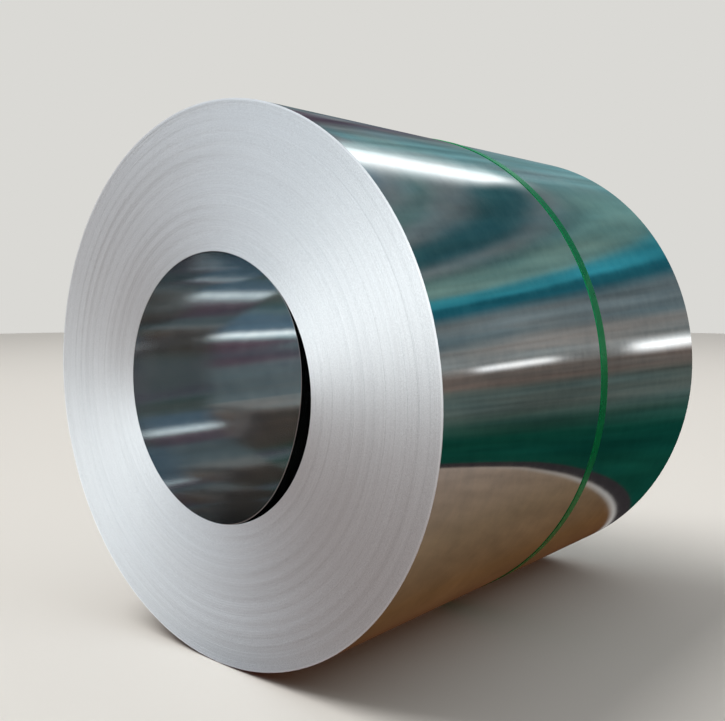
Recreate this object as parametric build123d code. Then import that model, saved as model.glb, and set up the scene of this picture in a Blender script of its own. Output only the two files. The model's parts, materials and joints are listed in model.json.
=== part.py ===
from build123d import *
import math
import os

# A coil of galvanised steel strip, lying on its side, with one plastic strap round its middle.
# Millimetres. +Z is up and the coil's axis runs along Y, with its front end towards -Y.
# The origin is on the floor, below the middle of the coil.

# The wound strip
bore_diameter = 508.0
coil_diameter = 1050.0
strip_width = 1000.0
strip_thickness = 0.8

# The turns lie a little unevenly along the axis, so each end shows them as shallow rings.
# Each ring is one group of neighbouring turns, all as wide as the strip.
ring_count = 30
slow_wander = 0.7
fast_wander = 0.5
slow_wander_cycles = 2.3
fast_wander_cycles = 11.7

# The strip's two cut ends: the tail on the outside and the head in the bore.
# Angles are in degrees about the axis, from +X towards +Z, and the strip winds outward that way.
tail_angle = 196.0
tail_ramp_angle = 60.0
head_angle = 275.0
head_ramp_angle = 60.0

# The strap, welded where its two ends lie over each other
strap_width = 25.0
strap_thickness = 1.0
strap_clearance = 0.05
strap_offset = 35.0
weld_angle = 146.0
weld_length = 90.0
weld_ramp_length = 45.0

coil_radius = coil_diameter / 2
bore_radius = bore_diameter / 2
ring_thickness = (coil_radius - bore_radius) / ring_count
strap_inner_radius = coil_radius + strap_clearance
strap_outer_radius = strap_inner_radius + strap_thickness
axis_height = strap_outer_radius

# A ramp that meets the round surface smoothly has risen three quarters of the way at its middle.
RAMP_RISE_AT_MIDDLE = 0.75


def polar(radius, angle):
    """The point in the section plane at this radius and angle, in degrees."""
    return (radius * math.cos(math.radians(angle)), radius * math.sin(math.radians(angle)))


def arc(radius, start_angle, end_angle, end_radius=None, middle_radius=None):
    """An arc about the axis, or a ramp where its end lies at another radius."""
    end_radius = radius if end_radius is None else end_radius
    middle_radius = radius if middle_radius is None else middle_radius
    return ThreePointArc(
        polar(radius, start_angle),
        polar(middle_radius, (start_angle + end_angle) / 2),
        polar(end_radius, end_angle),
    )


def lapped_outline(radius, stepped_radius, lap_angle, ramp_angle):
    """A round outline with one step, where the end of the strip lies on the turn next to it.

    The ramp back to the round outline runs from the step towards +Z, or clockwise if its angle is negative.
    """
    ramp_end = lap_angle + ramp_angle
    middle_radius = stepped_radius + RAMP_RISE_AT_MIDDLE * (radius - stepped_radius)
    edges = [
        Line(polar(radius, lap_angle), polar(stepped_radius, lap_angle)),
        arc(stepped_radius, lap_angle, ramp_end, radius, middle_radius),
        arc(radius, ramp_end, lap_angle + math.copysign(360, ramp_angle)),
    ]
    return make_face(edges)


def along_axis(section, start, end):
    """The section, drawn in the XY plane as X and Z, stretched along the coil's axis."""
    length = end - start
    return Pos(0, end, 0) * Rot(X=90) * extrude(section, amount=length)


def ring_shift(index):
    """How far one group of turns stands towards +Y from the coil's middle."""
    share = index / (ring_count - 1)
    slow = slow_wander * math.sin(math.tau * slow_wander_cycles * share)
    fast = fast_wander * math.sin(math.tau * fast_wander_cycles * share)
    return slow + fast


def ring_span(index):
    """Where one group of turns starts and ends along the axis."""
    shift = ring_shift(index)
    return shift - strip_width / 2, shift + strip_width / 2


def middle_rings():
    """Every group of turns but the innermost and outermost, turned as one profile."""
    front_edge = []
    back_edge = []
    for index in range(1, ring_count - 1):
        start, end = ring_span(index)
        inner = bore_radius + index * ring_thickness
        outer = inner + ring_thickness
        front_edge += [(inner, start), (outer, start)]
        back_edge += [(inner, end), (outer, end)]
    profile = make_face(Polyline(*front_edge, *reversed(back_edge), close=True))
    return revolve(profile, Axis.Y)


def innermost_ring():
    """The first turns, with the strip's head as a step in the bore."""
    outline = Circle(bore_radius + ring_thickness)
    opening = lapped_outline(bore_radius, bore_radius + strip_thickness, head_angle, -head_ramp_angle)
    return along_axis(outline - opening, *ring_span(0))


def outermost_ring():
    """The last turns, with the strip's tail as a step on the outside."""
    outline = lapped_outline(coil_radius, coil_radius - strip_thickness, tail_angle, tail_ramp_angle)
    opening = Circle(coil_radius - ring_thickness)
    return along_axis(outline - opening, *ring_span(ring_count - 1))


def steel_coil():
    """The whole wound strip as one solid."""
    coil = middle_rings() + innermost_ring() + outermost_ring()
    return Pos(0, 0, axis_height) * coil


def strap():
    """The strap as one closed band, twice as thick where its ends are welded together."""
    weld_end = weld_angle + math.degrees(weld_length / strap_outer_radius)
    ramp_end = weld_end + math.degrees(weld_ramp_length / strap_outer_radius)
    raised_radius = strap_outer_radius + strap_thickness
    ramp_middle_radius = strap_outer_radius + strap_thickness / 2
    edges = [
        Line(polar(strap_outer_radius, weld_angle), polar(raised_radius, weld_angle)),
        arc(raised_radius, weld_angle, weld_end),
        arc(raised_radius, weld_end, ramp_end, strap_outer_radius, ramp_middle_radius),
        arc(strap_outer_radius, ramp_end, weld_angle + 360),
    ]
    section = make_face(edges) - Circle(strap_inner_radius)
    band = along_axis(section, strap_offset - strap_width / 2, strap_offset + strap_width / 2)
    return Pos(0, 0, axis_height) * band


os.makedirs("parts", exist_ok=True)
export_step(steel_coil(), "parts/steel_coil.step")
export_step(strap(), "parts/strap.step")
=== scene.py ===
# The looks of a strapped coil of galvanised steel strip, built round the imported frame.
# Metres, and degrees for angles about the coil's axis, which run from +X towards +Z.
import json
import math
from types import SimpleNamespace

import bpy
import numpy as np
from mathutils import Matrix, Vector


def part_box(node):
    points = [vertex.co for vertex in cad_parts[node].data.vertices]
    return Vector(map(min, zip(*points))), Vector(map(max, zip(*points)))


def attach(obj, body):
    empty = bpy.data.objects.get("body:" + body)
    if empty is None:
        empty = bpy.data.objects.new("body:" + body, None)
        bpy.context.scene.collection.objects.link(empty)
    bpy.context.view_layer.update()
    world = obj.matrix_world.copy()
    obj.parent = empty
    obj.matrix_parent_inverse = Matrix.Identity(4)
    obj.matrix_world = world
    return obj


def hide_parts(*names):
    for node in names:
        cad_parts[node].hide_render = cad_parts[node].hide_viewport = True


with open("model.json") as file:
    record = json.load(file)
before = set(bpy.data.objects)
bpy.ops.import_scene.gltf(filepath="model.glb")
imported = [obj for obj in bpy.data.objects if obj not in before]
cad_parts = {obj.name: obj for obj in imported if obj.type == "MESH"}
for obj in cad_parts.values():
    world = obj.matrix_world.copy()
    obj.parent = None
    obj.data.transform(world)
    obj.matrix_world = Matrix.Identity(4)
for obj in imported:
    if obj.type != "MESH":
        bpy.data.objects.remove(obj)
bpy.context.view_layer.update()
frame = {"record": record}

MM = 0.001
random = np.random.default_rng(7)

# The places of the coil's two materials in its list
CUT_EDGES = 0
SHEET = 1

# Sizes read from the frame
bore_mount = next(m for m in frame["record"]["mounts"] if m["name"] == "bore")
bore_radius = bore_mount["dims"]["r_mm"] * MM
strip_width = bore_mount["dims"]["length_mm"] * MM
axis_height = bore_mount["pos_m"][2]
coil_low, coil_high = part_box("steel_coil")
coil_radius = round((coil_high.x - coil_low.x) / 2, 4)
strap_low, strap_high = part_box("strap")
strap_middle = round((strap_low.y + strap_high.y) / 2, 4)
strap_width = round(strap_high.y - strap_low.y, 4)

# The strip, its tail and its head, as in the solid
strip_thickness = 0.8 * MM
tail_angle = 196.0
tail_ramp = 60.0
head_angle = 275.0
head_ramp = 60.0

# The solid's rings of turns and their two wanders, and the share of each wander that is shown
ring_count = 30
slow_wander = 0.7 * MM
fast_wander = 0.5 * MM
slow_wander_cycles = 2.3
fast_wander_cycles = 11.7
slow_share = 0.85
fast_share = 0.45

# Finer shape than the solid's
steps_per_ring = 4
step_shift = 0.08 * MM
step_ripple = 0.04 * MM
least_jump = 0.001 * MM
lip_round = 0.5 * MM
angle_step = 2.0
cut_width = 0.04
outside_rows = 24
bore_rows = 14
dent_depth = 0.15 * MM
dent_fade = 0.06
dent_swirl = 1.7
crease_angle = 30.0

# The innermost turn, which has sprung away from the bore's wall between its head and this angle
loose_end = 51.0
loose_gap_in_front = 27.0 * MM
loose_gap_at_back = 20.0 * MM
loose_columns = 68
loose_rows = 8

# The strap
strap_clearance = 0.05 * MM
strap_thickness = 1.0 * MM
strap_edge = 0.25 * MM
weld_angle = 146.0
weld_length = 90 * MM
weld_ramp_length = 45 * MM
weld_mark_length = 28 * MM
emboss_depth = 0.05 * MM
emboss_angle_step = 1 / 3
emboss_rows = 9

# Places on the flat maps for baking: the middles of discs, or left, bottom, width and height
map_disc_radius = 0.245
map_front = (0.25, 0.25)
map_back = (0.75, 0.25)
map_outside = (0.005, 0.51, 0.99, 0.24)
map_bore = (0.005, 0.765, 0.6, 0.225)
map_loose = (0.62, 0.78, 0.37, 0.195)
map_first_cut = (0.62, 0.765, 0.37, 0.004)
map_last_cut = (0.62, 0.986, 0.37, 0.004)
map_strap = (0.01, 0, 0.97, 1)
map_lanes = 8
lane_margin = 0.05

# The camera
camera_place = Vector((1.2544875, -1.52543, 0.708645))
camera_direction = Vector((-0.65148762, 0.75428943, -0.08131014))
camera_lens = 42.81
camera_sensor = 36.0


def about_axis(radius, angles, along):
    """Points at these radii and angles about the coil's axis."""
    turn = np.radians(angles)
    radius, turn, along = np.broadcast_arrays(radius, turn, along)
    return np.stack([radius * np.cos(turn), along, axis_height + radius * np.sin(turn)], -1)


def grid_faces(rows, columns, first=0, closed=True):
    """Faces of a grid whose rows meet round the section, and whose columns meet too if it is closed."""
    faces = []
    for row in range(rows):
        near = first + row * columns
        far = first + (row + 1) % rows * columns
        for column in range(columns if closed else columns - 1):
            after = (column + 1) % columns
            faces.append((near + column, far + column, far + after, near + after))
    return faces


def end_caps(rows, columns, first):
    """The two end faces of an open grid."""
    starts = [first + row * columns for row in range(rows)]
    return [tuple(reversed(starts)), tuple(start + columns - 1 for start in starts)]


def mesh_object(name, points, faces, face_materials=None):
    """A smooth new object from points and faces in the part's frame, creased at its sharp edges."""
    mesh = bpy.data.meshes.new(name)
    mesh.from_pydata(points.reshape(-1, 3).tolist(), [], faces)
    mesh.shade_smooth()
    mesh.set_sharp_from_angle(angle=math.radians(crease_angle))
    if face_materials is not None:
        mesh.polygons.foreach_set("material_index", np.asarray(face_materials, dtype=np.int32))
    made = bpy.data.objects.new(name, mesh)
    bpy.context.scene.collection.objects.link(made)
    return made


def ring_shift(share):
    """How far a turn stands towards +Y, for its share of the way from the bore to the outside."""
    place = np.clip(share * ring_count - 0.5, 0, ring_count - 1) / (ring_count - 1)
    slow = slow_share * slow_wander * np.sin(math.tau * slow_wander_cycles * place)
    fast = fast_share * fast_wander * np.sin(math.tau * fast_wander_cycles * place)
    return slow + fast


def tail_drop(angles):
    """How far the outside lies below its full radius, just past the strip's tail."""
    share = np.clip((angles - tail_angle) / tail_ramp, 0, 1)
    return np.where(angles > tail_angle, strip_thickness * (1 - share) ** 2, 0)


def head_rise(angles):
    """How far the wall lies outside the bore's radius, before the strip's head and behind its loose turn."""
    share = np.clip((angles - head_angle + head_ramp) / head_ramp, 0, 1)
    behind_loose_turn = (angles > head_angle) | (angles < loose_end)
    return np.where(behind_loose_turn, strip_thickness, strip_thickness * share ** 2)


def dent_waves():
    """Long soft waves of the outside: lobes round the coil, length along it, share and two phases."""
    shapes = [(3, 0.9, 0.30), (5, 0.47, 0.25), (9, 0.31, 0.20), (14, 0.23, 0.15), (23, 0.37, 0.10)]
    return [(lobes, length, share, *random.uniform(0, math.tau, 2)) for lobes, length, share in shapes]


def dent(angles, along, waves):
    """How far the outside dips below true round at this place along the axis."""
    total = 0
    for lobes, length, share, turn_phase, along_phase in waves:
        swing = math.tau * along / length
        lobe = np.sin(lobes * np.radians(angles) + turn_phase + dent_swirl * math.sin(swing))
        total = total + share * lobe * math.cos(swing + along_phase)
    fade = min(1, (strip_width / 2 - abs(along)) / dent_fade)
    return dent_depth * fade * (0.5 + 0.5 * total)


def wound_points(angles):
    """The wound coil's profile row by row, the material of each row's faces, and the first step's shift."""
    steps = ring_count * steps_per_ring
    middles = (np.arange(steps) + 0.5) / steps
    shifts = ring_shift(middles) + random.uniform(-step_shift, step_shift, steps)
    phases = random.uniform(0, math.tau, (steps, 1))
    edges = shifts[:, None] + step_ripple * np.sin(2 * np.radians(angles)[None, :] + phases)
    # Neighbouring steps never quite meet, so that no face between them loses its area.
    for step in range(1, steps):
        jump = edges[step] - edges[step - 1]
        edges[step] = edges[step - 1] + np.copysign(np.maximum(np.abs(jump), least_jump), jump)
    waves = dent_waves()
    end = strip_width / 2
    rows = []
    materials = []

    def radius_at(share):
        radius = bore_radius + share * (coil_radius - bore_radius)
        near_bore = max(0, 1 - share * ring_count)
        near_outside = max(0, 1 - (1 - share) * ring_count)
        return radius + near_bore * head_rise(angles) - near_outside * tail_drop(angles)

    def add(radius, along, material):
        rows.append(about_axis(radius, angles, along))
        materials.append(material)

    def add_end(side, order):
        for step in order:
            inner = radius_at(step / steps) + (lip_round if step == 0 else 0)
            outer = radius_at((step + 1) / steps) - (lip_round if step == steps - 1 else 0)
            for radius in (inner, outer) if side < 0 else (outer, inner):
                add(radius, side * end + edges[step], CUT_EDGES)

    add(radius_at(0), -end + edges[0] + lip_round, CUT_EDGES)
    add_end(-1, range(steps))
    add(radius_at(1), -end + edges[-1] + lip_round, SHEET)
    for place in np.linspace(-end, end, outside_rows + 1)[1:-1]:
        add(radius_at(1) - dent(angles, place, waves), place, SHEET)
    add(radius_at(1), end + edges[-1] - lip_round, CUT_EDGES)
    add_end(1, reversed(range(steps)))
    add(radius_at(0), end + edges[0] - lip_round, SHEET)
    for place in np.linspace(end, -end, bore_rows + 1)[1:-1]:
        add(radius_at(0), place, SHEET)
    return np.stack(rows), materials, shifts[0]


def loose_turn_points(shift):
    """The innermost turn where it stands away from the wall, as a section round the sheet, row by row."""
    angles = np.linspace(head_angle - 360, loose_end, loose_columns)
    middle = (head_angle - 360 + loose_end) / 2
    half_span = loose_end - middle
    swell = np.cos((angles - middle) / half_span * math.pi / 2) ** 2
    rows = []
    for thickness, places in (
        (strip_thickness, np.linspace(-0.5, 0.5, loose_rows + 1)),
        (0, np.linspace(0.5, -0.5, loose_rows + 1)),
    ):
        for place in places:
            gap = loose_gap_in_front + (place + 0.5) * (loose_gap_at_back - loose_gap_in_front)
            radius = bore_radius + thickness - gap * swell
            rows.append(about_axis(radius, angles, place * strip_width + shift))
    return np.stack(rows)


def way(points):
    """Each point's share of the way along a line of points."""
    steps = np.linalg.norm(np.diff(points, axis=0), axis=1)
    return np.append(0, np.cumsum(steps)) / steps.sum()


def face_corners(rows, columns):
    """The four corners of each face of a grid, as shares of the way across its rows and along them."""
    row, column = np.meshgrid(np.arange(len(rows) - 1), np.arange(len(columns) - 1), indexing="ij")
    across = np.stack([rows[row], rows[row + 1], rows[row + 1], rows[row]], -1)
    along = np.stack([columns[column], columns[column], columns[column + 1], columns[column + 1]], -1)
    return across, along


def on_rectangle(x_share, y_share, place):
    """Corners on a rectangle of the flat map: its left, its bottom, its width and its height."""
    left, bottom, width, height = place
    return np.stack([left + width * x_share, bottom + height * y_share], -1)


def on_disc(share, along, middle):
    """Corners on a disc of the flat map, from its hole outwards."""
    hole = bore_radius / coil_radius
    radius = map_disc_radius * (hole + (1 - hole) * share)
    swing = math.tau * along
    return np.stack([middle[0] + radius * np.cos(swing), middle[1] + radius * np.sin(swing)], -1)


def wound_map(wound, materials, angles):
    """The wound turns on the flat map: each end as a disc, the outside and the bore as rectangles."""
    columns = np.append(angles, 360) / 360
    regions = np.split(np.arange(len(wound)), np.flatnonzero(np.diff(materials)) + 1)
    shares = []
    for rows in regions:
        edges = np.append(rows, (rows[-1] + 1) % len(wound))
        shares.append(face_corners(way(wound[edges, 0]), columns))
    front, outside, back, bore = shares
    return [
        on_disc(*front, map_front), on_rectangle(outside[1], outside[0], map_outside),
        on_disc(1 - back[0], back[1], map_back), on_rectangle(bore[1], bore[0], map_bore),
    ]


def loose_map(loose):
    """The loose turn on the flat map: its skin as one rectangle, and its two cut ends beside that."""
    across, along = face_corners(way(np.append(loose, loose[:1], 0)[:, 0]), np.linspace(0, 1, loose_columns))
    half = np.linspace(0, 1, loose_rows + 1)
    there_and_back = np.append(half, half[::-1])
    side = np.repeat([0, 1], loose_rows + 1)
    return [
        on_rectangle(across, along, map_loose),
        on_rectangle(there_and_back, side, map_first_cut)[::-1],
        on_rectangle(there_and_back, side, map_last_cut),
    ]


def set_bake_map(made, corners):
    """Gives a piece the flat map for baking its finish, from the corners of its faces in their order."""
    layer = made.data.uv_layers.new(name="OFBake")
    layer.data.foreach_set("uv", np.concatenate([part.ravel() for part in corners]))


def wound_strip():
    """The whole coil: the wound turns as one closed skin, and the loose part of the innermost turn."""
    angles = np.arange(0, 360, angle_step)
    angles = np.sort(np.append(angles, [tail_angle + cut_width, loose_end - cut_width, loose_end]))
    wound, materials, shift = wound_points(angles)
    loose = loose_turn_points(shift)
    faces = grid_faces(len(wound), len(angles))
    face_materials = np.repeat(materials, len(angles)).tolist()
    first = wound.shape[0] * wound.shape[1]
    loose_faces = grid_faces(len(loose), loose_columns, first, closed=False)
    loose_faces += end_caps(len(loose), loose_columns, first)
    points = np.concatenate([wound.reshape(-1, 3), loose.reshape(-1, 3)])
    made = mesh_object(
        "wound_strip", points, faces + loose_faces, face_materials + [SHEET] * len(loose_faces)
    )
    set_bake_map(made, wound_map(wound, materials, angles) + loose_map(loose))
    return made


def strap_band():
    """The strap with its embossed face, its doubled length at the weld and the plain mark of the weld."""
    inner = coil_radius + strap_clearance
    outer = inner + strap_thickness
    weld_end = weld_angle + math.degrees(weld_length / outer)
    ramp_end = weld_end + math.degrees(weld_ramp_length / outer)
    mark_half = math.degrees(weld_mark_length / outer) / 2
    mark_middle = (weld_angle + weld_end) / 2
    angles = np.arange(0, 360, emboss_angle_step)
    angles = np.sort(np.append(angles, weld_angle - cut_width))
    rounding = 1e-9
    on_lap = (angles >= weld_angle - rounding) & (angles <= ramp_end)
    lap = np.where(on_lap, strap_thickness * np.clip((ramp_end - angles) / (ramp_end - weld_end), 0, 1), 0)
    off_mark = np.abs(angles - mark_middle) > mark_half
    columns = np.arange(len(angles))
    half = strap_width / 2
    rows = []

    def add(along, radius):
        rows.append(about_axis(radius, angles, strap_middle + along))

    add(-half + strap_edge, inner)
    add(-half, inner + strap_edge)
    add(-half, outer + lap - strap_edge)
    for row in range(emboss_rows):
        along = (half - strap_edge) * (2 * row / (emboss_rows - 1) - 1)
        pit = ((row + columns) % 2) * off_mark * emboss_depth
        add(along, outer + lap - pit)
    add(half, outer + lap - strap_edge)
    add(half, inner + strap_edge)
    add(half - strap_edge, inner)
    made = mesh_object("green_strap_band", np.stack(rows), grid_faces(len(rows), len(angles)))
    section = np.stack(rows)[:, 0]
    across, along = face_corners(way(np.append(section, section[:1], 0)), np.append(angles, 360) / 360)
    lane = np.floor(along[..., :1] * map_lanes)
    across_lane = (lane + lane_margin + (1 - 2 * lane_margin) * across) / map_lanes
    set_bake_map(made, [on_rectangle(along * map_lanes - lane, across_lane, map_strap)])
    return made


# Materials

class Nodes:
    """A short way to write a node tree."""

    def __init__(self, tree):
        self.tree = tree
        tree.nodes.clear()

    def add(self, kind, inputs=None, **settings):
        node = self.tree.nodes.new(kind)
        for name, value in settings.items():
            setattr(node, name, value)
        for name, value in (inputs or {}).items():
            socket = node.inputs[name]
            if isinstance(value, bpy.types.NodeSocket):
                self.tree.links.new(value, socket)
            else:
                socket.default_value = value
        return node

    def math(self, operation, *values):
        return self.add("ShaderNodeMath", dict(enumerate(values)), operation=operation).outputs[0]

    def vector(self, x, y, z):
        return self.add("ShaderNodeCombineXYZ", {"X": x, "Y": y, "Z": z}).outputs[0]

    def noise(self, vector, scale, detail=2.0, roughness=0.5):
        inputs = {"Vector": vector, "Scale": scale, "Detail": detail, "Roughness": roughness}
        return self.add("ShaderNodeTexNoise", inputs).outputs["Fac"]

    def spread(self, value, low, high, to_low=0.0, to_high=1.0):
        inputs = {"Value": value, "From Min": low, "From Max": high, "To Min": to_low, "To Max": to_high}
        return self.add("ShaderNodeMapRange", inputs).outputs[0]

    def mix(self, share, first, second, blend="MIX"):
        node = self.add("ShaderNodeMix", data_type="RGBA", blend_type=blend)
        for index, value in ((0, share), (6, first), (7, second)):
            if isinstance(value, bpy.types.NodeSocket):
                self.tree.links.new(value, node.inputs[index])
            else:
                node.inputs[index].default_value = value
        return node.outputs[2]

    def ramp(self, value, stops):
        node = self.add("ShaderNodeValToRGB", {"Fac": value})
        elements = node.color_ramp.elements
        while len(elements) < len(stops):
            elements.new(0.5)
        for element, (place, colour) in zip(elements, stops):
            element.position = place
            element.color = colour
        return node.outputs["Color"]


def screen_colour(red, green, blue):
    """A linear colour from the 0 to 255 values that a screen shows."""
    def linear(value):
        value = value / 255
        return value / 12.92 if value <= 0.04045 else ((value + 0.055) / 1.055) ** 2.4
    return (linear(red), linear(green), linear(blue), 1.0)


def new_material(name):
    material = bpy.data.materials.new(name)
    material.use_nodes = True
    return material, Nodes(material.node_tree)


def coil_coordinates(nodes):
    """A point, its places across and along the coil, and its height, radius and turn about the axis."""
    point = nodes.add("ShaderNodeTexCoord").outputs["Object"]
    split = nodes.add("ShaderNodeSeparateXYZ", {0: point})
    height = nodes.math("SUBTRACT", split.outputs["Z"], axis_height)
    across = split.outputs["X"]
    across_square = nodes.math("MULTIPLY", across, across)
    height_square = nodes.math("MULTIPLY", height, height)
    radius = nodes.math("SQRT", nodes.math("ADD", across_square, height_square))
    turn = nodes.math("DIVIDE", nodes.math("ARCTAN2", height, across), math.tau)
    return SimpleNamespace(
        point=point, across=across, along=split.outputs["Y"], height=height, radius=radius, turn=turn
    )


def sheet_material():
    """Bright galvanised sheet: smooth, with a faint rolling grain round the coil, a faint zinc bloom, and a
    painted brightening in the bore.
    """
    material, nodes = new_material("galvanised_sheet")
    at = coil_coordinates(nodes)
    wall_reach = 0.03
    near_bore, near_outside = bore_radius + wall_reach, coil_radius - wall_reach
    painted_bore_brightening, bore_haze = 1.12, 0.028
    grain_place = nodes.vector(
        nodes.math("MULTIPLY", at.across, 0.6), nodes.math("MULTIPLY", at.along, 60), at.height
    )
    grain = nodes.noise(grain_place, 6.0, 4.0, 0.6)
    bloom = nodes.noise(at.point, 26.0, 5.0, 0.62)
    cloud = nodes.noise(at.point, 3.1, 3.0, 0.5)
    dim_zinc, bright_zinc = screen_colour(206, 210, 212), screen_colour(219, 221, 221)
    tint = nodes.mix(nodes.spread(bloom, 0.35, 0.65), dim_zinc, bright_zinc)
    # Painted light: the sheet's colour is made up to 12% brighter on the bore's wall, standing in for more
    # light reaching it.
    inside = nodes.spread(at.radius, near_bore, near_outside, painted_bore_brightening, 1.0)
    shade = nodes.math("MULTIPLY", nodes.spread(cloud, 0.3, 0.7, 0.95, 1.0), inside)
    colour = nodes.mix(1.0, tint, nodes.vector(shade, shade, shade), "MULTIPLY")
    haze = nodes.spread(at.radius, near_bore, near_outside, bore_haze, 0.0)
    grain_blur = nodes.spread(grain, 0.3, 0.7, 0.06, 0.085)
    bloom_blur = nodes.spread(bloom, 0.3, 0.7, -0.01, 0.01)
    blur = nodes.math("ADD", nodes.math("ADD", grain_blur, bloom_blur), haze)
    waves = nodes.noise(at.point, 5.5, 1.0, 0.4)
    wave_bump = nodes.add("ShaderNodeBump", {"Strength": 0.25, "Distance": 0.0012, "Height": waves})
    grain_bump = nodes.add("ShaderNodeBump", {
        "Strength": 0.10, "Distance": 0.00004, "Height": grain, "Normal": wave_bump.outputs[0],
    })
    tangent = nodes.add("ShaderNodeTangent", direction_type="RADIAL", axis="Y")
    shader = nodes.add("ShaderNodeBsdfPrincipled", {
        "Base Color": colour, "Metallic": 1.0, "Roughness": blur, "Normal": grain_bump.outputs[0],
        "Anisotropic": 0.5, "Anisotropic Rotation": 0.25, "Tangent": tangent.outputs[0],
    })
    nodes.add("ShaderNodeOutputMaterial", {"Surface": shader.outputs[0]})
    return material


def cut_edge_material():
    """The strip's cut edges, turn by turn: pale rough metal with a dark line between the turns, and a painted
    highlight at the outer rim.
    """
    material, nodes = new_material("cut_strip_edges")
    at = coil_coordinates(nodes)
    gap_start, gap_darkness = 0.36, 0.38
    rim_start, rim_full = 0.0045, 0.002
    turns_out = nodes.math("DIVIDE", nodes.math("SUBTRACT", at.radius, bore_radius), strip_thickness)
    wound = nodes.math("SUBTRACT", turns_out, at.turn)
    number = nodes.math("FLOOR", wound)
    across_edge = nodes.math("SUBTRACT", wound, number)
    from_middle = nodes.math("ABSOLUTE", nodes.math("SUBTRACT", across_edge, 0.5))
    gap = nodes.spread(from_middle, gap_start, 0.5)
    unrolled = nodes.vector(nodes.math("ADD", number, at.turn), 0.0, 0.0)
    per_turn = nodes.noise(unrolled, 2.6, 2.0, 0.6)
    band_place = nodes.vector(nodes.math("MULTIPLY", at.radius, 330), nodes.math("MULTIPLY", at.across, 3),
                              nodes.math("MULTIPLY", at.height, 3))
    bands = nodes.noise(band_place, 1.0, 3.0, 0.6)
    fleck = nodes.noise(at.point, 420.0, 3.0, 0.75)
    turn_shade = nodes.spread(per_turn, 0.25, 0.75, 0.93, 1.03)
    band_shade = nodes.spread(bands, 0.25, 0.75, 0.94, 1.03)
    gap_shade = nodes.math("SUBTRACT", 1.0, nodes.math("MULTIPLY", gap, gap_darkness))
    fleck_shade = nodes.spread(fleck, 0.3, 0.7, 0.88, 1.08)
    shade = nodes.math("MULTIPLY", nodes.math("MULTIPLY", turn_shade, band_shade),
                       nodes.math("MULTIPLY", gap_shade, fleck_shade))
    colour = nodes.mix(1.0, screen_colour(230, 233, 234), nodes.vector(shade, shade, shade), "MULTIPLY")
    # Painted highlight: the last few millimetres at the outer edge of each end face are paler, standing in
    # for light caught by the outermost lip.
    painted_rim_highlight = nodes.spread(at.radius, coil_radius - rim_start, coil_radius - rim_full)
    colour = nodes.mix(painted_rim_highlight, colour, screen_colour(238, 240, 241))
    blur = nodes.spread(per_turn, 0.25, 0.75, 0.55, 0.61)
    level = nodes.math("SUBTRACT", nodes.math("MULTIPLY", per_turn, 0.6), gap)
    bump = nodes.add("ShaderNodeBump", {"Strength": 0.3, "Distance": 0.00012, "Height": level})
    tangent = nodes.add("ShaderNodeTangent", direction_type="RADIAL", axis="Y")
    shader = nodes.add("ShaderNodeBsdfPrincipled", {
        "Base Color": colour, "Metallic": 1.0, "Roughness": blur, "Normal": bump.outputs[0],
        "Anisotropic": 0.8, "Anisotropic Rotation": 0.25, "Tangent": tangent.outputs[0],
    })
    nodes.add("ShaderNodeOutputMaterial", {"Surface": shader.outputs[0]})
    return material


def strap_material():
    """Green strapping: glossy half-clear plastic over bright steel, with faint flow lines and a little dust.

    Its share of metal stands for the steel's reflections, which show green through the plastic.
    """
    material, nodes = new_material("green_strapping")
    at = coil_coordinates(nodes)
    most_dust = 0.06
    flow_place = nodes.vector(
        nodes.math("MULTIPLY", at.across, 2), nodes.math("MULTIPLY", at.along, 700), at.height
    )
    flow = nodes.noise(flow_place, 2.0, 3.0, 0.6)
    dust = nodes.noise(at.point, 60.0, 4.0, 0.6)
    colour = nodes.mix(nodes.spread(flow, 0.3, 0.7), screen_colour(0, 148, 82), screen_colour(2, 166, 96))
    colour = nodes.mix(nodes.spread(dust, 0.55, 0.8, 0.0, most_dust), colour, screen_colour(150, 160, 140))
    blur = nodes.spread(dust, 0.3, 0.7, 0.26, 0.38)
    bump = nodes.add("ShaderNodeBump", {"Strength": 0.15, "Distance": 0.00005, "Height": flow})
    shader = nodes.add("ShaderNodeBsdfPrincipled", {
        "Base Color": colour, "Metallic": 0.65, "Roughness": blur, "Normal": bump.outputs[0],
        "Specular IOR Level": 0.3,
    })
    nodes.add("ShaderNodeOutputMaterial", {"Surface": shader.outputs[0]})
    return material


# The studio

def stage_plane(name, corners, material):
    """A flat piece of the studio, which isn't part of the object."""
    mesh = bpy.data.meshes.new(name)
    mesh.from_pydata(corners, [], [tuple(range(len(corners)))])
    made = bpy.data.objects.new(name, mesh)
    bpy.context.scene.collection.objects.link(made)
    made.data.materials.append(material)
    return made


def only_for(made, camera=False, diffuse=False, glossy=False, shadow=False):
    """Which rays see this piece of the studio."""
    made.visible_camera = camera
    made.visible_diffuse = diffuse
    made.visible_glossy = glossy
    made.visible_transmission = False
    made.visible_volume_scatter = False
    made.visible_shadow = shadow


def matte_material(name, colour):
    material, nodes = new_material(name)
    shader = nodes.add("ShaderNodeBsdfDiffuse", {"Color": colour})
    nodes.add("ShaderNodeOutputMaterial", {"Surface": shader.outputs[0]})
    return material


def glowing_material(name, colour, strength):
    material, nodes = new_material(name)
    shader = nodes.add("ShaderNodeEmission", {"Color": colour, "Strength": strength})
    nodes.add("ShaderNodeOutputMaterial", {"Surface": shader.outputs[0]})
    return material


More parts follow.
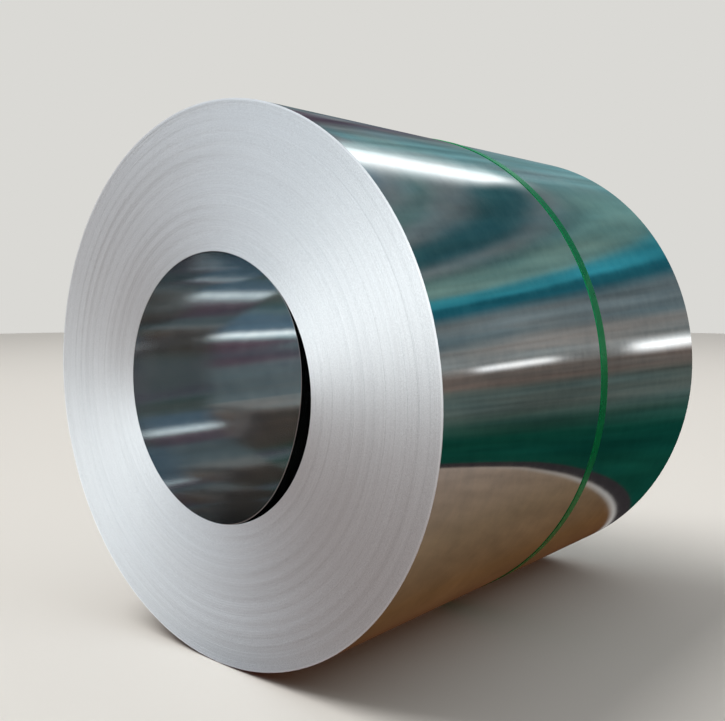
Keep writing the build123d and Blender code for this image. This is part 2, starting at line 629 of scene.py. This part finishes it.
def make_floor():
    """A pale floor, and what the metal's reflections see in its place: a brown patch and a grey front."""
    reach = 14.0
    corners = [(-reach, -reach, 0), (reach, -reach, 0), (reach, reach, 0), (-reach, reach, 0)]
    floor = stage_plane("floor", corners, matte_material("pale_floor", screen_colour(232, 228, 221)))
    only_for(floor, camera=True, diffuse=True, shadow=True)
    lift = 0.0003
    front_edge = -0.56
    patch_corners = [
        (-0.9, front_edge, lift), (2.85, front_edge, lift), (0.87, 0.725, lift), (-0.9, 1.16, lift)
    ]
    only_for(stage_plane("reflected_mat", patch_corners, brown_patch_material()), glossy=True)
    front_half, front_start = 4.0, -6.0
    front_corners = [
        (-front_half, front_start, lift), (front_half, front_start, lift),
        (front_half, front_edge, lift), (-front_half, front_edge, lift),
    ]
    grey = glowing_material("grey_front", screen_colour(156, 141, 137), 1.0)
    only_for(stage_plane("reflected_front", front_corners, grey), glossy=True)


def brown_patch_material():
    """A glowing brown patch whose light is painted in: blotchy, with painted shade darker towards the coil, a
    painted highlight as a pale rim along its edge, and a dark strip beyond.
    """
    material, nodes = new_material("brown_patch")
    place = nodes.add("ShaderNodeTexCoord").outputs["Object"]
    split = nodes.add("ShaderNodeSeparateXYZ", {0: place})
    far_start, far_slant = 0.837, 0.245
    side_start, side_slant = 1.19, 0.65
    shade_start, shade_end, rim_full = 0.1, 1.1, 0.5
    rim_start, rim_end = 0.015, 0.05
    edge_start, edge_end = -0.015, 0.01
    far_edge = nodes.math("SUBTRACT", far_start, nodes.math("MULTIPLY", split.outputs["X"], far_slant))
    side_edge = nodes.math("SUBTRACT", side_start, nodes.math("MULTIPLY", split.outputs["X"], side_slant))
    from_edge = nodes.math("SUBTRACT", nodes.math("MINIMUM", far_edge, side_edge), split.outputs["Y"])
    from_coil = nodes.math("ABSOLUTE", split.outputs["X"])
    # Painted shade: the brown darkens towards the coil, as if the coil shaded it.
    brown = nodes.ramp(nodes.spread(from_coil, shade_start, shade_end), [
        (0.0, screen_colour(62, 32, 22)), (0.24, screen_colour(100, 72, 46)),
        (0.48, screen_colour(124, 103, 81)), (1.0, screen_colour(158, 141, 129)),
    ])
    blotches = nodes.spread(nodes.noise(place, 5.0, 4.0, 0.6), 0.3, 0.7, 0.84, 1.14)
    brown = nodes.mix(1.0, brown, nodes.vector(blotches, blotches, blotches), "MULTIPLY")
    # Painted highlight: a pale rim along the patch's edge near the coil.
    rim = nodes.mix(nodes.spread(from_coil, shade_end, rim_full), brown, screen_colour(176, 172, 168))
    pale = nodes.mix(nodes.spread(from_edge, rim_start, rim_end), rim, brown)
    colour = nodes.mix(nodes.spread(from_edge, edge_start, edge_end), screen_colour(50, 46, 48), pale)
    # The patch glows with its painted colour instead of being lit by a lamp.
    shader = nodes.add("ShaderNodeEmission", {"Color": colour, "Strength": 1.0})
    nodes.add("ShaderNodeOutputMaterial", {"Surface": shader.outputs[0]})
    return material


def make_backdrop():
    """A pale surround that only the camera sees."""
    bpy.ops.mesh.primitive_uv_sphere_add(segments=64, ring_count=32, radius=13.5)
    dome = bpy.context.object
    dome.name = "backdrop"
    dome.data.materials.append(glowing_material("pale_surround", screen_colour(218, 217, 213), 1.0))
    only_for(dome, camera=True)


def make_world():
    """What the metal reflects: dim level bands, plainer in front, seen by reflections alone."""
    world = bpy.data.worlds.new("surroundings")
    bpy.context.scene.world = world
    world.use_nodes = True
    nodes = Nodes(world.node_tree)
    direction = nodes.add("ShaderNodeTexCoord").outputs["Generated"]
    split = nodes.add("ShaderNodeSeparateXYZ", {0: direction})
    least_depth, wobble_height = 0.08, 0.012
    depth = nodes.math("MAXIMUM", nodes.math("ABSOLUTE", split.outputs["Y"]), least_depth)
    slope = nodes.math("DIVIDE", split.outputs["Z"], depth)
    side = nodes.math("DIVIDE", split.outputs["X"], depth)

    wobble = nodes.noise(nodes.vector(side, split.outputs["Y"], nodes.math("MULTIPLY", slope, 2.0)), 2.6, 3.0)
    level = nodes.math("ADD", slope, nodes.spread(wobble, 0.3, 0.7, -wobble_height, wobble_height))
    lowest, highest = -0.85, 1.0

    def at(slope_of_band):
        return (slope_of_band - lowest) / (highest - lowest)

    shade = screen_colour(82, 73, 67)
    deep_green = screen_colour(14, 66, 55)
    moss = screen_colour(46, 78, 70)
    cool_grey = screen_colour(90, 100, 96)
    brown = screen_colour(112, 100, 94)
    light = screen_colour(146, 147, 146)
    grey = screen_colour(106, 117, 121)
    mist = screen_colour(118, 131, 136)
    blue_grey = screen_colour(100, 126, 145)
    deep_teal = screen_colour(28, 90, 104)
    teal = screen_colour(56, 148, 164)
    pale_green = screen_colour(112, 148, 144)
    sage = screen_colour(88, 121, 121)
    dim_teal = screen_colour(46, 90, 98)
    right = nodes.ramp(nodes.spread(level, lowest, highest), [
        (0.0, shade), (at(-0.65), deep_green), (at(-0.32), deep_green), (at(-0.25), moss),
        (at(-0.17), cool_grey), (at(-0.08), cool_grey), (at(-0.04), brown), (at(0.01), brown),
        (at(0.07), light), (at(0.14), light), (at(0.19), grey), (at(0.24), mist), (at(0.29), grey),
        (at(0.335), deep_teal), (at(0.365), deep_teal), (at(0.38), teal), (at(0.41), teal),
        (at(0.43), pale_green), (at(0.49), pale_green), (at(0.52), sage), (at(0.56), mist),
        (at(0.59), dim_teal), (at(0.65), dim_teal), (at(0.69), grey), (at(0.72), mist),
        (at(0.76), sage), (at(0.82), mist), (at(0.90), blue_grey), (1.0, blue_grey),
    ])
    violet = screen_colour(90, 80, 94)
    maroon = screen_colour(104, 78, 92)
    pale_teal = screen_colour(122, 164, 168)
    far_right = nodes.ramp(nodes.spread(slope, -1.0, 1.0), [
        (0.0, cool_grey), (0.08, grey), (0.16, violet), (0.27, grey), (0.37, moss), (0.43, cool_grey),
        (0.80, cool_grey), (0.95, blue_grey),
    ])
    right = nodes.mix(nodes.spread(side, 0.75, 0.95), right, far_right)
    patches = nodes.noise(nodes.vector(side, 4.0, slope), 4.5, 2.0, 0.5)
    left_upper = nodes.ramp(nodes.spread(side, -1.5, 0.5), [
        (0.0, mist), (0.26, mist), (0.32, violet), (0.37, violet), (0.42, mist), (0.48, pale_teal),
        (1.0, pale_teal),
    ])
    left_upper = nodes.mix(nodes.spread(patches, 0.45, 0.65, 0.0, 0.7), left_upper, mist)
    far_left = nodes.ramp(nodes.spread(slope, 0.0, 1.0), [
        (0.0, grey), (0.38, grey), (0.50, mist), (0.58, maroon), (0.74, violet), (0.84, maroon),
    ])
    left_upper = nodes.mix(nodes.spread(side, -0.82, -0.94), left_upper, far_left)
    top_corner = nodes.math("MULTIPLY", nodes.spread(slope, 0.76, 0.82), nodes.spread(side, -0.42, -0.52))
    left_upper = nodes.mix(top_corner, left_upper, maroon)
    left_lower = nodes.ramp(nodes.spread(slope, -1.1, 0.0), [
        (0.0, brown), (0.12, brown), (0.28, light), (0.46, light), (0.68, mist), (0.85, grey),
    ])
    left = nodes.mix(nodes.spread(slope, -0.03, 0.03), left_lower, left_upper)
    above = nodes.spread(side, -0.32, -0.12)
    below = nodes.spread(side, -0.6, -0.3)
    on_right = nodes.mix(nodes.spread(slope, -0.1, 0.1), below, above)
    around = nodes.mix(on_right, left, right)
    level_streaks = nodes.vector(nodes.math("MULTIPLY", side, 2.0), 0.0, nodes.math("MULTIPLY", slope, 14.0))
    upright_streaks = nodes.vector(
        nodes.math("MULTIPLY", side, 12.0), 0.0, nodes.math("MULTIPLY", slope, 2.0)
    )
    streaks = nodes.mix(
        on_right, nodes.noise(upright_streaks, 1.6, 4.0, 0.6), nodes.noise(level_streaks, 2.4, 4.0, 0.65)
    )
    streak_tone = nodes.spread(streaks, 0.32, 0.68, 0.66, 1.26)
    tone = nodes.math("MULTIPLY", streak_tone, nodes.spread(patches, 0.35, 0.65, 0.85, 1.12))
    warm_place = nodes.vector(nodes.math("MULTIPLY", side, 1.5), 7.0, nodes.math("MULTIPLY", slope, 6.0))
    warm = nodes.noise(warm_place, 2.2, 3.0, 0.6)
    warmer = nodes.math("MULTIPLY", tone, nodes.spread(warm, 0.35, 0.65, 0.88, 1.10))
    cooler = nodes.math("MULTIPLY", tone, nodes.spread(warm, 0.35, 0.65, 1.03, 0.95))
    around = nodes.mix(1.0, around, nodes.vector(warmer, tone, cooler), "MULTIPLY")

    plain = nodes.ramp(nodes.spread(split.outputs["Z"], -0.3, 1.0), [
        (0.0, light), (0.22, light), (0.26, grey), (0.34, mist),
        (0.50, screen_colour(166, 174, 180)), (1.0, screen_colour(204, 208, 212)),
    ])
    gentle = nodes.math("ADD", 0.5, nodes.math("MULTIPLY", tone, 0.5))
    plain = nodes.mix(1.0, plain, nodes.vector(gentle, gentle, gentle), "MULTIPLY")
    squares = nodes.math("ADD", nodes.math("MULTIPLY", slope, slope), nodes.math("MULTIPLY", side, side))
    around = nodes.mix(nodes.spread(squares, 2.0, 4.0), around, plain)

    front = nodes.ramp(nodes.spread(slope, -0.6, 1.0), [
        (0.0, screen_colour(138, 125, 121)), (0.33, screen_colour(149, 147, 149)),
        (0.42, screen_colour(224, 230, 235)), (1.0, screen_colour(211, 219, 229)),
    ])
    lift = nodes.spread(side, -0.8, -1.8, 1.0, 2.0)
    front = nodes.mix(1.0, front, nodes.vector(lift, lift, lift), "MULTIPLY")
    front = nodes.mix(0.15, front, around)
    in_front = nodes.spread(split.outputs["Y"], 0.1, -0.1)
    colour = nodes.mix(in_front, around, front)
    background = nodes.add("ShaderNodeBackground", {"Color": colour, "Strength": 1.0})
    nodes.add("ShaderNodeOutputWorld", {"Surface": background.outputs[0]})
    visibility = world.cycles_visibility
    visibility.camera = False
    visibility.diffuse = False
    visibility.transmission = False
    visibility.scatter = False


def area_light(name, place, target, width, height, power, colour=(1, 1, 1)):
    data = bpy.data.lights.new(name, "AREA")
    data.shape = "RECTANGLE"
    data.size = width
    data.size_y = height
    data.energy = power
    data.color = colour
    made = bpy.data.objects.new(name, data)
    bpy.context.scene.collection.objects.link(made)
    made.location = place
    made.rotation_euler = (Vector(target) - Vector(place)).to_track_quat("-Z", "Y").to_euler()
    made.visible_camera = False
    return made


def add_glow(nodes, strength):
    """A surface that only adds this much light to what is seen through it."""
    glow = nodes.add("ShaderNodeEmission", {"Color": (1, 1, 1, 1), "Strength": strength})
    clear = nodes.add("ShaderNodeBsdfTransparent")
    shader = nodes.add("ShaderNodeAddShader", {0: glow.outputs[0], 1: clear.outputs[0]})
    nodes.add("ShaderNodeOutputMaterial", {"Surface": shader.outputs[0]})


def make_strip_light():
    """A long lamp above, along the coil, with soft edges all round and faint towards its near end."""
    left, core_left, core_right, right = -2.8, -1.2, -0.83, 0.27
    near, bright, core_far, far = -3.0, 3.2, 6.3, 7.4
    height = 4.7
    taper_start, taper_end, taper = 5.2, 6.2, 0.72
    core_taper_start, core_taper = 5.7, 0.25
    edge_softness, faint_softness, brightest = 3.6, 2.0, 1.4
    corners = [(left, near, height), (right, near, height), (right, far, height), (left, far, height)]
    material, nodes = new_material("strip_lamp")
    place = nodes.add("ShaderNodeTexCoord").outputs["Object"]
    split = nodes.add("ShaderNodeSeparateXYZ", {0: place})
    across = split.outputs["X"]
    along = split.outputs["Y"]
    narrowing = nodes.spread(along, taper_start, taper_end, right, right - taper)
    core_narrowing = nodes.spread(along, core_taper_start, core_far, core_right, core_right - core_taper)
    sides = nodes.math("MULTIPLY", nodes.spread(across, left, core_left),
                       nodes.spread(across, narrowing, core_narrowing))
    inside = nodes.math("MULTIPLY", sides, nodes.spread(along, far, core_far))
    faint = nodes.math("POWER", nodes.spread(along, near, bright), faint_softness)
    soft_edge = nodes.math("POWER", inside, edge_softness)
    add_glow(nodes, nodes.math("MULTIPLY", soft_edge, nodes.math("MULTIPLY", faint, brightest)))
    only_for(stage_plane("strip_lamp", corners, material), glossy=True)


def make_small_lamp(name, place, target, width, height, brightest):
    """A small lamp with soft edges, seen by reflections alone."""
    material, nodes = new_material(name)
    soft_side, core_share, edge_softness = 0.09, 0.08, 2.0
    local = nodes.add("ShaderNodeTexCoord").outputs["Object"]
    split = nodes.add("ShaderNodeSeparateXYZ", {0: local})
    across = nodes.spread(nodes.math("ABSOLUTE", split.outputs["X"]), width / 2, width / 2 - soft_side)
    upwards = nodes.spread(nodes.math("ABSOLUTE", split.outputs["Y"]), height / 2, height * core_share)
    inside = nodes.math("POWER", nodes.math("MULTIPLY", across, upwards), edge_softness)
    add_glow(nodes, nodes.math("MULTIPLY", inside, brightest))
    corners = [(x * width / 2, y * height / 2, 0) for x, y in ((-1, -1), (1, -1), (1, 1), (-1, 1))]
    lamp = stage_plane(name, corners, material)
    lamp.location = place
    lamp.rotation_euler = (Vector(target) - Vector(place)).to_track_quat("-Z", "Y").to_euler()
    only_for(lamp, glossy=True)


def make_lights():
    middle = (0, 0, axis_height)
    front = area_light(
        "front_softbox", (-0.3, -4.4, 1.38), middle, width=4.8, height=1.7, power=80, colour=(0.98, 1.0, 1.0)
    )
    back = area_light("back_softbox", (-0.1, 4.8, 1.0), middle, width=1.3, height=1.2, power=90)
    make_small_lamp(
        "small_lamp_left", (3.6, 4.85, 0.79), (0.5, 0, 0.6), width=0.78, height=0.32, brightest=1.25
    )
    make_small_lamp(
        "small_lamp_right", (2.75, 6.0, 0.815), (0.5, 0.4, 0.6), width=0.66, height=0.6, brightest=1.65
    )
    fill = area_light("ceiling", (0, 0, 6.0), (0, 0, 0), width=16.0, height=16.0, power=480)
    fill.visible_glossy = False
    front.visible_diffuse = False
    back.visible_diffuse = False
    sun = bpy.data.lights.new("key", "SUN")
    sun.energy = 2.0
    sun.angle = math.radians(35)
    key = bpy.data.objects.new("key", sun)
    bpy.context.scene.collection.objects.link(key)
    key.rotation_euler = Vector((0.55, 0.35, -1.0)).to_track_quat("-Z", "Y").to_euler()
    key.visible_glossy = False


def make_camera():
    data = bpy.data.cameras.new("camera")
    data.lens = camera_lens
    data.sensor_width = camera_sensor
    data.sensor_fit = "HORIZONTAL"
    made = bpy.data.objects.new("camera", data)
    bpy.context.scene.collection.objects.link(made)
    made.location = camera_place
    made.rotation_euler = camera_direction.to_track_quat("-Z", "Y").to_euler()
    bpy.context.scene.camera = made


make_camera()

coil = wound_strip()
coil.data.materials.append(cut_edge_material())
coil.data.materials.append(sheet_material())
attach(coil, "root")
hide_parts("steel_coil")

strap = strap_band()
strap.data.materials.append(strap_material())
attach(strap, "root")
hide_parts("strap")

make_floor()
make_backdrop()
make_world()
make_strip_light()
make_lights()

scene = bpy.context.scene
scene.view_settings.view_transform = "Standard"
scene.view_settings.look = "None"
scene.cycles.glossy_bounces = 12
scene.cycles.blur_glossy = 0.2
